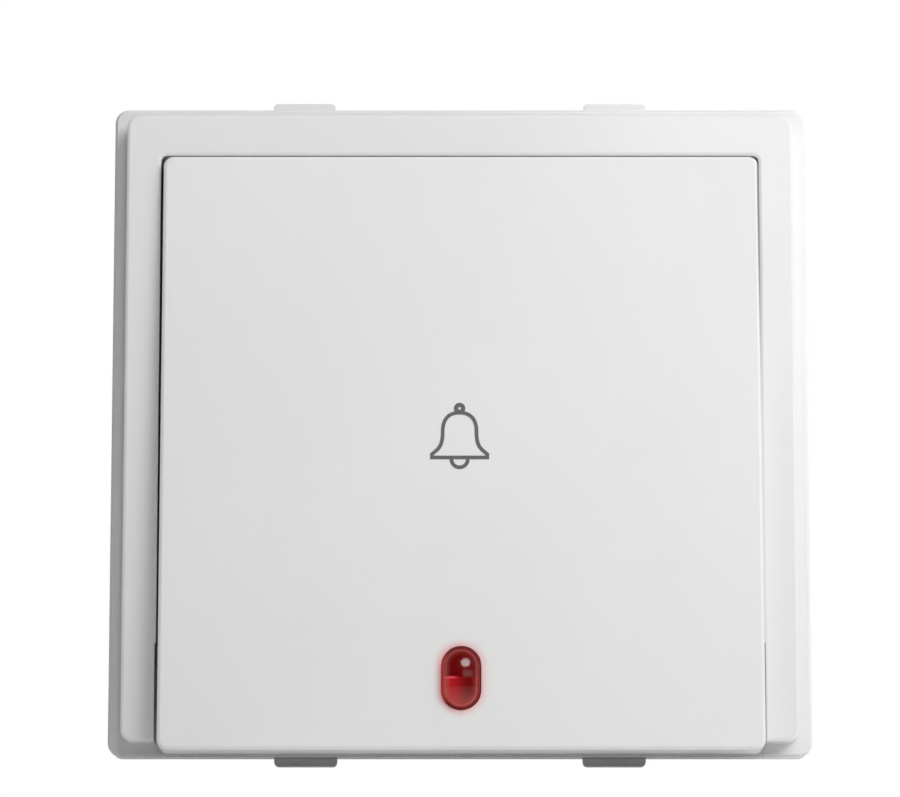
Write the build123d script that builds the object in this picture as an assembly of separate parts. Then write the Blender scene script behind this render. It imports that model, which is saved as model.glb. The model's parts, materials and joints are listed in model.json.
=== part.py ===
"""Doorbell switch: a two-module bell push with a lit lens, as separate named solids.

Millimetres. Seen from the front, X is right and Z is up. Y goes into the wall.
The origin is the middle of the flange's back, which lies on the mounting plate.
"""

import os
from math import cos, pi, radians, sin

from build123d import *

# Flat sides on thin wires and on the springs' wire, and straight runs in a spring's turn
WIRE_SIDES = 6
SPRING_SIDES = 4
COIL_RUNS = 12

# Front frame: flange, raised face and skirt
FLANGE_WIDTH = 45.0
FLANGE_HEIGHT = 42.4
FLANGE_THICKNESS = 1.5
FLANGE_CORNER = 0.9
FLANGE_EDGE_CHAMFER = 0.15
STEP_SIDE = 0.92
STEP_END = 0.81
FACE_RISE = 1.9
FACE_CORNER = 0.8
FACE_EDGE_WIDTH = 0.18
FACE_EDGE_DROP = 0.07
SIDE_RAIL = 2.21
TOP_RAIL = 2.68
OPENING_CORNER = 0.4
BOTTOM_STRIP = 2.4
RAIL_RELIEF = 0.08
RAIL_RELIEF_HEIGHT = 6.3
SKIRT_DEPTH = 7.0
SKIRT_WALL = 1.2
SKIRT_CORNER = 1.2
SKIRT_INNER_CORNER = 0.6
SEAT_LEDGE = 0.5
SEAT_DEPTH = 3.2

# Snap lugs on the flange's top and bottom edges
LUG_WIDTH = 4.05
LUG_TOP_REACH = 0.46
LUG_BOTTOM_REACH = 0.53
LUG_ROOT = 0.4
LUG_CORNER = 0.3
LUG_TOP_SETBACK = 0.3
LUG_BOTTOM_SETBACK = 0.9
LUG_TOP_X = 10.13
LUG_BOTTOM_X = 9.87

# Push plate, drawn flat and then tilted out about its hinge
PLATE_GAP = 0.125
PLATE_SHIFT = 0.075
PLATE_TOP_GAP = 0.18
PLATE_PROUD = 0.5
PLATE_BOTTOM_INSET = 0.13
PLATE_THICKNESS = 1.4
PLATE_WALL = 1.3
PLATE_CORNER = 0.65
PLATE_EDGE_WIDTH = 0.2
PLATE_EDGE_DROP = 0.08
REST_TILT = 1.65
PRESS_ANGLE = 1.5
STOP_CLEARANCE = 0.12
HINGE_DEPTH = 1.2
HINGE_BELOW_OPENING_TOP = 2.71
HINGE_PIN_RADIUS = 1.0
HINGE_CLEARANCE = 0.05
HINGE_PIN_SETBACK = 0.35
EAR_RADIUS = 1.75
EAR_THICKNESS = 1.2
RIB_WIDTH = 1.0
RIB_HEIGHT = 1.2
RIB_X = 8.0
HOOK_INSET = 6.23
HOOK_WIDTH = 3.0
HOOK_THICKNESS = 1.2
HOOK_NOSE = 0.8
HOOK_CLEARANCE = 0.3

# Indicator lens
LENS_WIDTH = 2.42
LENS_HEIGHT = 3.99
LENS_ABOVE_PLATE_BOTTOM = 4.54
LENS_RISE = 0.45
LENS_DRAFT = 20.0
LENS_DOME_RADIUS = 6.5
LENS_CLEARANCE = 0.05
LENS_COLLAR = 0.9
LENS_COLLAR_THICKNESS = 0.8
LENS_STEM = 3.5

# Plunger, return spring and inner cover
COVER_RECESS = 0.2
COVER_THICKNESS = 1.2
COVER_CLEARANCE = 0.08
WELL_RADIUS = 3.5
WELL_WALL = 1.1
WELL_DEPTH = 2.0
WELL_FLOOR = 1.0
WELL_ABOVE_RESISTOR = 0.95
PLUNGER_RADIUS = 1.7
PLUNGER_CLEARANCE = 0.05
PLUNGER_HEAD_RADIUS = 3.2
PLUNGER_HEAD_THICKNESS = 0.9
PLUNGER_DOME_RADIUS = 12.0
PLUNGER_TIP_RADIUS = 3.0
HEAD_ABOVE_COVER = 1.4
BOSS_RADIUS = 1.8
TOUCH_CLEARANCE = 0.05
SPRING_END_GAP = 0.02
RETURN_COIL_RADIUS = 2.6
RETURN_WIRE_RADIUS = 0.25
RETURN_TURNS = 3.0

# Contact lever and contacts
LEVER_CLEARANCE = 1.1
LEVER_THICKNESS = 0.8
LEVER_WIDTH = 4.0
LEVER_PLUNGER_ARM = 5.5
LEVER_TIP_ARM = 10.5
LEVER_END = 1.6
LEVER_HUB_RADIUS = 1.1
LEVER_PIN_RADIUS = 0.6
LEVER_PIN_CLEARANCE = 0.03
EAR_GAP = 0.2
TIP_RADIUS = 1.3
TIP_HEIGHT = 0.7
TIP_CHAMFER = 0.25
CONTACT_CLEARANCE = 0.03
STRIP_THICKNESS = 0.8
STRIP_WIDTH = 3.4
LEVER_COIL_RADIUS = 1.5
LEVER_WIRE_RADIUS = 0.18
LEVER_SPRING_TURNS = 3.0
SPRING_POST_RADIUS = 1.0
SPRING_POST_HEIGHT = 1.0

# Terminals
TERMINAL_SIDE_WALL = 2.29
BLOCK_WIDTH = 7.6
BLOCK_HEIGHT = 8.3
BLOCK_DEPTH = 6.4
BLOCK_CLEARANCE = 0.1
WIRE_BORE_RADIUS = 1.65
WIRE_BORE_DEPTH = 7.0
BORE_FRONT_WALL = 0.7
SCREW_RADIUS = 1.75
SCREW_CLEARANCE = 0.05
SCREW_TIP_GAP = 0.2
SCREW_HEAD_RADIUS = 2.8
SCREW_HEAD_HEIGHT = 1.0
SCREW_HEAD_GAP = 0.3
SCREW_SLOT_WIDTH = 0.8
SCREW_SLOT_DEPTH = 0.6
TAB_INSET = 0.4

# Rear housing
HOUSING_CLEARANCE = 0.08
HOUSING_WALL = 1.4
HOUSING_CORNER = 1.0
HOUSING_INNER_CORNER = 0.5
COVER_LEDGE = 0.8
FLOOR_THICKNESS = 1.2
REAR_WALL = 1.3
REAR_EDGE_CHAMFER = 0.5
REAR_BLOCK_INSET = 2.6
REAR_BLOCK_ABOVE = 2.6
WIRE_WINDOW_EXTRA = 0.65
SCREW_WINDOW_EXTRA = 0.4
CLIP_Z = 8.0
CLIP_WIDTH = 3.6
CLIP_REACH = 0.6
CLIP_LENGTH = 1.6
CLIP_CLEARANCE = 0.15
CLIP_SETBACK = 1.5

# Cover screws
COVER_SCREW_INSET = 5.59
COVER_SCREW_BELOW_HINGE = 6.0
COVER_SCREW_RADIUS = 0.95
COVER_SCREW_HEAD_RADIUS = 2.0
COVER_SCREW_HEAD_HEIGHT = 1.0
COVER_SCREW_LENGTH = 6.5
COVER_SCREW_CLEARANCE = 0.05
COVER_SCREW_TIP_GAP = 0.65
COVER_BOSS_RADIUS = 2.5

# Glow lamp and its resistor
LAMP_RADIUS = 1.75
LAMP_LENGTH = 9.2
LAMP_END_CHAMFER = 0.9
LAMP_ABOVE_LENS = 2.2
LAMP_CLEARANCE = 0.05
LEAD_RADIUS = 0.25
LEAD_SPREAD = 0.6
LEAD_RUN = 2.0
LEAD_INSET = 1.0
CRADLE_WALL = 0.6
CRADLE_LENGTH = 1.2
CRADLE_X = 3.0
CRADLE_GRIP = 0.87
CRADLE_NIP = 0.2
RESISTOR_RADIUS = 1.15
RESISTOR_LENGTH = 6.2
RESISTOR_END_CHAMFER = 0.38
RESISTOR_ABOVE_LAMP = 0.93
SADDLE_WALL = 0.3
SADDLE_X = 1.55


def block(x0, x1, y0, y1, z0, z1):
    """A box between two opposite corners."""
    middle = Pos((x0 + x1) / 2, (y0 + y1) / 2, (z0 + z1) / 2)
    return middle * Box(x1 - x0, y1 - y0, z1 - z0)


def facing(y, x=0.0, z=0.0):
    """A plane that faces the front, with its own x along X and its own y along Z."""
    return Plane(origin=(x, y, z), x_dir=(1, 0, 0), z_dir=(0, -1, 0))


def slab(half_width, z0, z1, corner, y0, y1):
    """A box with rounded corners as seen from the front, centred on X."""
    outline = RectangleRounded(2 * half_width, z1 - z0, corner)
    return extrude(facing(y1, 0.0, (z0 + z1) / 2) * outline, y1 - y0)


def obround(width, height, y0, y1, z):
    """An upright slot shape, centred on X."""
    outline = SlotOverall(height, width, rotation=90)
    return extrude(facing(y1, 0.0, z) * outline, y1 - y0)


def rod(start, end, radius):
    """A cylinder between two points."""
    line = Vector(*end) - Vector(*start)
    on_start = (Align.CENTER, Align.CENTER, Align.MIN)
    return Plane(origin=start, z_dir=line) * Cylinder(radius, line.length, align=on_start)


def wire_along(points, radius, sides):
    """A thin flat-sided wire through the given points, mitred at each bend."""
    path = Polyline(*points)
    section = Plane(origin=path @ 0, z_dir=path % 0) * RegularPolygon(radius, sides)
    return sweep(section, path, transition=Transition.RIGHT)


def coil(x, z, y0, y1, coil_radius, wire_radius, turns):
    """A coil spring along Y between y0 and y1, its wire drawn in short straight runs."""
    runs = round(turns * COIL_RUNS)
    rise = (y1 - y0 - 2 * wire_radius) / runs
    points = []
    for i in range(runs + 1):
        angle = 2 * pi * i / COIL_RUNS
        out_x = x + coil_radius * cos(angle)
        out_z = z + coil_radius * sin(angle)
        points.append((out_x, y0 + wire_radius + rise * i, out_z))
    return wire_along(points, wire_radius, SPRING_SIDES)


def front_edges(shape):
    """The edges round the front-most flat face."""
    return shape.faces().filter_by(Axis.Y).sort_by(Axis.Y)[0].edges()


def break_front_edges(shape, width, drop):
    """Bevels the rim of a front face by a width on the face and a drop at the sides."""
    front = shape.faces().filter_by(Axis.Y).sort_by(Axis.Y)[0]
    return chamfer(front.edges(), width, drop, reference=front)


def back_edges(shape):
    """The edges round the rear-most flat face."""
    return shape.faces().filter_by(Axis.Y).sort_by(Axis.Y)[-1].edges()


# Levels of the front frame
flange_half_width = FLANGE_WIDTH / 2
flange_half_height = FLANGE_HEIGHT / 2
flange_front = -FLANGE_THICKNESS
face_front = flange_front - FACE_RISE
face_half_width = flange_half_width - STEP_SIDE
face_half_height = flange_half_height - STEP_END
opening_half_width = face_half_width - SIDE_RAIL
opening_top = face_half_height - TOP_RAIL
opening_bottom = -flange_half_height + BOTTOM_STRIP
inner_half_width = opening_half_width + SEAT_LEDGE
inner_top = opening_top + SEAT_LEDGE
inner_bottom = opening_bottom - SEAT_LEDGE
skirt_half_width = inner_half_width + SKIRT_WALL
skirt_top = inner_top + SKIRT_WALL
skirt_bottom = inner_bottom - SKIRT_WALL
beyond = 2 * FLANGE_WIDTH

# The push plate's hinge and its travel
hinge_y = HINGE_DEPTH
hinge_z = opening_top - HINGE_BELOW_OPENING_TOP
hinge_axis = Axis((0, hinge_y, hinge_z), (1, 0, 0))
rest_tilt = radians(REST_TILT)
pressed_tilt = radians(REST_TILT - PRESS_ANGLE)
plate_front = face_front - PLATE_PROUD
front_lift = (hinge_y - plate_front) * sin(rest_tilt)
plate_half_width = opening_half_width - PLATE_GAP
plate_top = opening_top - PLATE_TOP_GAP - front_lift
plate_bottom = -flange_half_height + PLATE_BOTTOM_INSET - front_lift
plate_back = plate_front + PLATE_THICKNESS
plate_skirt = flange_front - STOP_CLEARANCE + (hinge_z - plate_bottom) * sin(pressed_tilt)
hook_offset = plate_half_width - HOOK_INSET

# Heights behind the push plate, from the lens upwards
lens_z = plate_bottom + LENS_ABOVE_PLATE_BOTTOM
lamp_z = lens_z + LAMP_ABOVE_LENS
resistor_z = lamp_z + LAMP_RADIUS + RESISTOR_ABOVE_LAMP + RESISTOR_RADIUS
plunger_z = resistor_z + RESISTOR_RADIUS + WELL_ABOVE_RESISTOR + WELL_WALL + WELL_RADIUS
plunger_arm = hinge_z - plunger_z
plunger_travel = plunger_arm * radians(PRESS_ANGLE)
cover_screw_z = hinge_z - COVER_SCREW_BELOW_HINGE

# Levels behind the push plate
cover_front = SEAT_DEPTH + COVER_RECESS
cover_back = cover_front + COVER_THICKNESS
well_floor = cover_back + WELL_DEPTH
well_back = well_floor + WELL_FLOOR
lamp_y = cover_back + LAMP_RADIUS
resistor_y = lamp_y
head_back = cover_front - HEAD_ABOVE_COVER
head_front = head_back - PLUNGER_HEAD_THICKNESS
lever_front = well_back + LEVER_CLEARANCE
lever_back = lever_front + LEVER_THICKNESS
lever_pivot_x = -LEVER_PLUNGER_ARM
lever_pivot_y = lever_front + LEVER_THICKNESS / 2
lever_swing = plunger_travel / LEVER_PLUNGER_ARM
lever_tip_x = lever_pivot_x + LEVER_TIP_ARM
lever_tip_face = lever_back + TIP_HEIGHT
tip_rim = (LEVER_TIP_ARM + TIP_RADIUS) * sin(lever_swing)
tip_height_closed = (lever_tip_face - lever_pivot_y) * cos(lever_swing)
fixed_tip_face = lever_pivot_y + tip_rim + tip_height_closed + CONTACT_CLEARANCE
strip_plane_front = fixed_tip_face + TIP_HEIGHT
floor_front = strip_plane_front + STRIP_THICKNESS
floor_back = floor_front + FLOOR_THICKNESS
block_back = floor_front + BLOCK_DEPTH
rear = block_back + BLOCK_CLEARANCE + REAR_WALL

# Levels of the housing and its terminals
housing_half_width = inner_half_width - HOUSING_CLEARANCE
housing_top = inner_top - HOUSING_CLEARANCE
housing_bottom = inner_bottom + HOUSING_CLEARANCE
recess_half_width = housing_half_width - HOUSING_WALL
recess_top = housing_top - HOUSING_WALL
recess_bottom = housing_bottom + HOUSING_WALL
cavity_half_width = recess_half_width - COVER_LEDGE
cavity_top = recess_top - COVER_LEDGE
cavity_bottom = recess_bottom + COVER_LEDGE
cover_screw_offset = cavity_half_width - COVER_SCREW_INSET
rear_half_width = housing_half_width - REAR_BLOCK_INSET
pocket_half = BLOCK_WIDTH / 2 + BLOCK_CLEARANCE
terminal_offset = rear_half_width - TERMINAL_SIDE_WALL - pocket_half
block_bottom = cavity_bottom
block_top = block_bottom + BLOCK_HEIGHT
wire_bore_y = floor_front + BORE_FRONT_WALL + WIRE_BORE_RADIUS

# Front frame: the raised face is open at the bottom, where the push plate stands before the flange
face = slab(face_half_width, -face_half_height, face_half_height, FACE_CORNER, face_front, flange_front)
opening_cut = slab(opening_half_width, -beyond, opening_top, OPENING_CORNER, -beyond, flange_front)
face = face - opening_cut
face = break_front_edges(face, FACE_EDGE_WIDTH, FACE_EDGE_DROP)
relief_half_width = opening_half_width + RAIL_RELIEF
relief_top = -face_half_height + RAIL_RELIEF_HEIGHT
face = face - block(-relief_half_width, relief_half_width, -beyond, flange_front, -beyond, relief_top)
flange = slab(flange_half_width, -flange_half_height, flange_half_height, FLANGE_CORNER, flange_front, 0)
flange = chamfer(front_edges(flange), FLANGE_EDGE_CHAMFER)
skirt = slab(skirt_half_width, skirt_bottom, skirt_top, SKIRT_CORNER, 0, SKIRT_DEPTH)
front_frame = flange + face + skirt
front_frame -= slab(opening_half_width, opening_bottom, opening_top, OPENING_CORNER, -beyond, SEAT_DEPTH)
front_frame -= slab(inner_half_width, inner_bottom, inner_top, SKIRT_INNER_CORNER, SEAT_DEPTH, beyond)

# Snap lugs
for side in (-1, 1):
    lug_x = side * LUG_TOP_X
    lug_y = flange_front + LUG_TOP_SETBACK
    lug_root = flange_half_height - LUG_ROOT
    lug_end = flange_half_height + LUG_TOP_REACH
    lug = block(lug_x - LUG_WIDTH / 2, lug_x + LUG_WIDTH / 2, lug_y, 0, lug_root, lug_end)
    lug = fillet(lug.edges().filter_by(Axis.Y).group_by(Axis.Z)[-1], LUG_CORNER)
    front_frame += lug
    lug_x = side * LUG_BOTTOM_X
    lug_y = flange_front + LUG_BOTTOM_SETBACK
    lug_end = flange_half_height + LUG_BOTTOM_REACH
    lug = block(lug_x - LUG_WIDTH / 2, lug_x + LUG_WIDTH / 2, lug_y, 0, -lug_end, -lug_root)
    lug = fillet(lug.edges().filter_by(Axis.Y).group_by(Axis.Z)[0], LUG_CORNER)
    front_frame += lug

# Hinge holes, hook slots and clip windows in the skirt
hinge_start = (-beyond, hinge_y, hinge_z)
hinge_end = (beyond, hinge_y, hinge_z)
front_frame -= rod(hinge_start, hinge_end, HINGE_PIN_RADIUS + HINGE_CLEARANCE)
slot_front = HOOK_CLEARANCE
slot_back = SEAT_DEPTH - HOOK_CLEARANCE
slot_half_width = HOOK_WIDTH / 2 + HOOK_CLEARANCE
clip_front = SEAT_DEPTH + CLIP_SETBACK
clip_back = clip_front + CLIP_LENGTH
window_half = CLIP_WIDTH / 2 + CLIP_CLEARANCE
window_front = clip_front - CLIP_CLEARANCE
window_back = clip_back + CLIP_CLEARANCE
for side in (-1, 1):
    slot_left = side * hook_offset - slot_half_width
    slot_right = side * hook_offset + slot_half_width
    slot_top = opening_bottom + HOOK_CLEARANCE
    front_frame -= block(slot_left, slot_right, slot_front, slot_back, -beyond, slot_top)
    window_z = side * CLIP_Z
    window_low = window_z - window_half
    window_high = window_z + window_half
    front_frame -= block(-beyond, beyond, window_front, window_back, window_low, window_high)

# Push plate, drawn flat
plate = slab(plate_half_width, plate_bottom, plate_top, PLATE_CORNER, plate_front, plate_skirt)
plate = break_front_edges(plate, PLATE_EDGE_WIDTH, PLATE_EDGE_DROP)
hollow_half_width = plate_half_width - PLATE_WALL
hollow_top = plate_top - PLATE_WALL
hollow_bottom = plate_bottom + PLATE_WALL
plate -= slab(hollow_half_width, hollow_bottom, hollow_top, PLATE_CORNER, plate_back, beyond)
rib_back = plate_back + RIB_HEIGHT
rib_bottom = lens_z + LENS_HEIGHT
for side in (-1, 1):
    rib_x = side * RIB_X
    plate += block(rib_x - RIB_WIDTH / 2, rib_x + RIB_WIDTH / 2, plate_back, rib_back, rib_bottom, hollow_top)
rib_z = (plunger_z + hinge_z) / 2
plate += block(-hollow_half_width, hollow_half_width, plate_back, rib_back, rib_z, rib_z + RIB_WIDTH)

# Hinge ears with pins, on the plate's two sides
pin_end = skirt_half_width - HINGE_PIN_SETBACK
ear_inside = plate_half_width - EAR_THICKNESS
for side in (-1, 1):
    ear_near = (side * ear_inside, hinge_y, hinge_z)
    ear_far = (side * plate_half_width, hinge_y, hinge_z)
    ear = rod(ear_near, ear_far, EAR_RADIUS)
    ear_x = sorted((side * ear_inside, side * plate_half_width))
    ear_low = hinge_z - EAR_RADIUS
    ear_high = min(hinge_z + EAR_RADIUS, plate_top - PLATE_CORNER)
    ear += block(ear_x[0], ear_x[1], plate_back, hinge_y, ear_low, ear_high)
    plate += ear
    plate += rod(ear_near, (side * pin_end, hinge_y, hinge_z), HINGE_PIN_RADIUS)

# Stop hooks that keep the plate from swinging out further
hook_top = opening_bottom + HOOK_CLEARANCE + HOOK_THICKNESS
hook_outside = opening_bottom + HOOK_CLEARANCE
nose_end = opening_bottom - HOOK_NOSE
nose_out = (hinge_z - nose_end) * sin(rest_tilt)
nose_front = slot_front + TOUCH_CLEARANCE + nose_out
nose_back = nose_front + HOOK_THICKNESS - HOOK_CLEARANCE
for side in (-1, 1):
    hook_left = side * hook_offset - HOOK_WIDTH / 2
    hook_right = side * hook_offset + HOOK_WIDTH / 2
    plate += block(hook_left, hook_right, plate_back, nose_back, hook_outside, hook_top)
    plate += block(hook_left, hook_right, nose_front, nose_back, nose_end, hook_top)

# Boss that meets the plunger, and the lens's hole with a rim round its collar
boss_out = plunger_arm * sin(rest_tilt)
boss_end = head_front - TOUCH_CLEARANCE + boss_out
plate += rod((0, plate_back, plunger_z), (0, boss_end, plunger_z), BOSS_RADIUS)
collar_width = LENS_WIDTH + 2 * LENS_COLLAR
collar_height = LENS_HEIGHT + 2 * LENS_COLLAR
collar_back = plate_back + LENS_COLLAR_THICKNESS
rim_gap = 2 * LENS_CLEARANCE
rim = obround(collar_width + 2 * RIB_WIDTH, collar_height + 2 * RIB_WIDTH, plate_back, collar_back, lens_z)
rim -= obround(collar_width + rim_gap, collar_height + rim_gap, plate_back, collar_back, lens_z)
plate += rim
plate -= obround(LENS_WIDTH + rim_gap, LENS_HEIGHT + rim_gap, -beyond, plate_back, lens_z)
in_place = Pos(PLATE_SHIFT, 0, 0)
push_plate = in_place * plate.rotate(hinge_axis, -REST_TILT)

# Indicator lens: tapered and domed front, collar against the plate's back, light guide behind
lens_outline = facing(plate_front, 0.0, lens_z) * SlotOverall(LENS_HEIGHT, LENS_WIDTH, rotation=90)
lens = extrude(lens_outline, LENS_RISE, taper=LENS_DRAFT)
lens = lens & (Pos(0, plate_front - LENS_RISE + LENS_DOME_RADIUS, lens_z) * Sphere(LENS_DOME_RADIUS))
lens += obround(LENS_WIDTH, LENS_HEIGHT, plate_front, plate_back, lens_z)
lens += obround(collar_width, collar_height, plate_back, collar_back, lens_z)
guide_back = collar_back + LENS_STEM
lens += obround(LENS_WIDTH - rim_gap, LENS_HEIGHT - rim_gap, collar_back, guide_back, lens_z)
indicator_lens = in_place * lens.rotate(hinge_axis, -REST_TILT)

# Inner cover with the plunger's well, the lamp window and the lamp's cradle
cover_half_width = recess_half_width - COVER_CLEARANCE
cover_top = recess_top - COVER_CLEARANCE
cover_bottom = recess_bottom + COVER_CLEARANCE
inner_cover = slab(cover_half_width, cover_bottom, cover_top, HOUSING_INNER_CORNER, cover_front, cover_back)
inner_cover += rod((0, cover_front, plunger_z), (0, well_back, plunger_z), WELL_RADIUS + WELL_WALL)
inner_cover -= rod((0, cover_front, plunger_z), (0, well_floor, plunger_z), WELL_RADIUS)
guide_radius = PLUNGER_RADIUS + PLUNGER_CLEARANCE
inner_cover -= rod((0, well_floor, plunger_z), (0, well_back, plunger_z), guide_radius)
window_half_width = LAMP_LENGTH / 2 + LAMP_CLEARANCE
window_half_height = LAMP_RADIUS - LEAD_RADIUS
lamp_window_low = lamp_z - window_half_height
lamp_window_high = lamp_z + window_half_height
cradle_half = LAMP_RADIUS + CRADLE_WALL
cradle_back = lamp_y + CRADLE_GRIP
for side in (-1, 1):
    cradle_left = side * CRADLE_X - CRADLE_LENGTH / 2
    cradle_right = side * CRADLE_X + CRADLE_LENGTH / 2
    cradle_low = lamp_z - cradle_half
    cradle_high = lamp_z + cradle_half
    inner_cover += block(cradle_left, cradle_right, cover_back, cradle_back, cradle_low, cradle_high)
    saddle_low = resistor_z - RESISTOR_RADIUS - SADDLE_WALL
    saddle_high = resistor_z + RESISTOR_RADIUS + SADDLE_WALL
    saddle_left = side * SADDLE_X - CRADLE_LENGTH / 2
    saddle_right = side * SADDLE_X + CRADLE_LENGTH / 2
    inner_cover += block(saddle_left, saddle_right, cover_back, resistor_y, saddle_low, saddle_high)
lamp_left = (-LAMP_LENGTH, lamp_y, lamp_z)
lamp_right = (LAMP_LENGTH, lamp_y, lamp_z)
inner_cover -= rod(lamp_left, lamp_right, LAMP_RADIUS + LAMP_CLEARANCE)
throat_half = LAMP_RADIUS - CRADLE_NIP
inner_cover -= block(-LAMP_LENGTH, LAMP_LENGTH, lamp_y, beyond, lamp_z - throat_half, lamp_z + throat_half)
resistor_left = (-RESISTOR_LENGTH, resistor_y, resistor_z)
resistor_right = (RESISTOR_LENGTH, resistor_y, resistor_z)
inner_cover -= rod(resistor_left, resistor_right, RESISTOR_RADIUS + LAMP_CLEARANCE)
window_span = (-window_half_width, window_half_width)
inner_cover -= block(*window_span, cover_front, cover_back, lamp_window_low, lamp_window_high)
for side in (-1, 1):
    hole_start = (side * cover_screw_offset, cover_front, cover_screw_z)
    hole_end = (side * cover_screw_offset, cover_back, cover_screw_z)
    inner_cover -= rod(hole_start, hole_end, COVER_SCREW_RADIUS + 2 * COVER_SCREW_CLEARANCE)

# Rear housing: full box in front, deeper block at the terminals
housing = slab(housing_half_width, housing_bottom, housing_top, HOUSING_CORNER, SEAT_DEPTH, floor_back)
housing = chamfer(back_edges(housing), REAR_EDGE_CHAMFER)
rear_top = block_top + REAR_BLOCK_ABOVE
rear_lump = slab(rear_half_width, housing_bottom, rear_top, HOUSING_CORNER, floor_front, rear)
rear_lump = chamfer(back_edges(rear_lump), REAR_EDGE_CHAMFER)
housing = housing + rear_lump
housing -= slab(recess_half_width, recess_bottom, recess_top, HOUSING_INNER_CORNER, SEAT_DEPTH, cover_back)
housing -= slab(cavity_half_width, cavity_bottom, cavity_top, HOUSING_INNER_CORNER, cover_back, floor_front)
core_half_width = terminal_offset - pocket_half - HOUSING_WALL
core_bottom = housing_bottom + HOUSING_WALL
core_top = rear_top - HOUSING_WALL
housing -= slab(core_half_width, core_bottom, core_top, HOUSING_INNER_CORNER, floor_back, beyond)
for side in (-1, 1):
    terminal_x = side * terminal_offset
    pocket_bottom = block_bottom - BLOCK_CLEARANCE
    pocket_top = block_top + BLOCK_CLEARANCE
    pocket_back = block_back + BLOCK_CLEARANCE
    pocket_left = terminal_x - pocket_half
    pocket_right = terminal_x + pocket_half
    housing -= block(pocket_left, pocket_right, floor_front, pocket_back, pocket_bottom, pocket_top)
    window_radius = WIRE_BORE_RADIUS + WIRE_WINDOW_EXTRA
    window_start = (terminal_x, wire_bore_y, -beyond)
    window_end = (terminal_x, wire_bore_y, block_bottom)
    housing -= rod(window_start, window_end, window_radius)
    access_z = block_bottom + BLOCK_HEIGHT / 2
    access_start = (terminal_x, block_back, access_z)
    access_end = (terminal_x, beyond, access_z)
    housing -= rod(access_start, access_end, SCREW_HEAD_RADIUS + SCREW_WINDOW_EXTRA)
    boss_x = side * cover_screw_offset
    boss_start = (boss_x, cover_back, cover_screw_z)
    housing += rod(boss_start, (boss_x, floor_back, cover_screw_z), COVER_BOSS_RADIUS)
    pilot_end = cover_front + COVER_SCREW_LENGTH + COVER_SCREW_TIP_GAP
    pilot_radius = COVER_SCREW_RADIUS + COVER_SCREW_CLEARANCE
    housing -= rod(boss_start, (boss_x, pilot_end, cover_screw_z), pilot_radius)
post_front = floor_front - SPRING_POST_HEIGHT
housing += rod((0, post_front, plunger_z), (0, floor_back, plunger_z), SPRING_POST_RADIUS)

# Snap barbs on the housing's sides, one for each window of the skirt
for side in (-1, 1):
    for clip_z in (-CLIP_Z, CLIP_Z):
        root_x = side * (housing_half_width - CLIP_REACH)
        wall_x = side * housing_half_width
        barb_x = side * (housing_half_width + CLIP_REACH)
        corners = [(root_x, clip_front), (wall_x, clip_front), (barb_x, clip_back), (root_x, clip_back)]
        barb_outline = make_face(Polyline(*corners, close=True))
        barb = extrude(barb_outline, CLIP_WIDTH, dir=(0, 0, 1))
        housing += Pos(0, 0, clip_z - CLIP_WIDTH / 2) * barb
rear_housing = housing

# Plunger: domed head, stem with a rounded end
plunger_end = lever_front - TOUCH_CLEARANCE
head = rod((0, head_front, plunger_z), (0, head_back, plunger_z), PLUNGER_HEAD_RADIUS)
head = head & (Pos(0, head_front + PLUNGER_DOME_RADIUS, plunger_z) * Sphere(PLUNGER_DOME_RADIUS))
head_middle = head_front + PLUNGER_HEAD_THICKNESS / 2
tip_ball = Pos(0, plunger_end - PLUNGER_TIP_RADIUS, plunger_z) * Sphere(PLUNGER_TIP_RADIUS)
stem_end = rod((0, plunger_end - PLUNGER_RADIUS, plunger_z), (0, plunger_end, plunger_z), PLUNGER_RADIUS)
stem = rod((0, head_middle, plunger_z), (0, plunger_end - PLUNGER_RADIUS, plunger_z), PLUNGER_RADIUS)
plunger = head + stem + (stem_end & tip_ball)

# Return spring round the plunger
return_front = head_back + SPRING_END_GAP
return_back = well_floor - SPRING_END_GAP
return_size = (RETURN_COIL_RADIUS, RETURN_WIRE_RADIUS, RETURN_TURNS)
return_spring = coil(0, plunger_z, return_front, return_back, *return_size)

# Contact lever with its hub, and the moving contact
lever_low = plunger_z - LEVER_WIDTH / 2
lever_high = plunger_z + LEVER_WIDTH / 2
lever_end_x = lever_tip_x + LEVER_END
contact_lever = block(lever_pivot_x, lever_end_x, lever_front, lever_back, lever_low, lever_high)
hub_low = (lever_pivot_x, lever_pivot_y, lever_low)
hub_high = (lever_pivot_x, lever_pivot_y, lever_high)
contact_lever += rod(hub_low, hub_high, LEVER_HUB_RADIUS)
contact_lever -= rod(hub_low, hub_high, LEVER_PIN_RADIUS + LEVER_PIN_CLEARANCE)
tip_start = (lever_tip_x, lever_back, plunger_z)
lever_contact_tip = rod(tip_start, (lever_tip_x, lever_tip_face, plunger_z), TIP_RADIUS)
tip_edge = lever_contact_tip.edges().filter_by(GeomType.CIRCLE).sort_by(Axis.Y)[-1]
lever_contact_tip = chamfer(tip_edge, TIP_CHAMFER)

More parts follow.
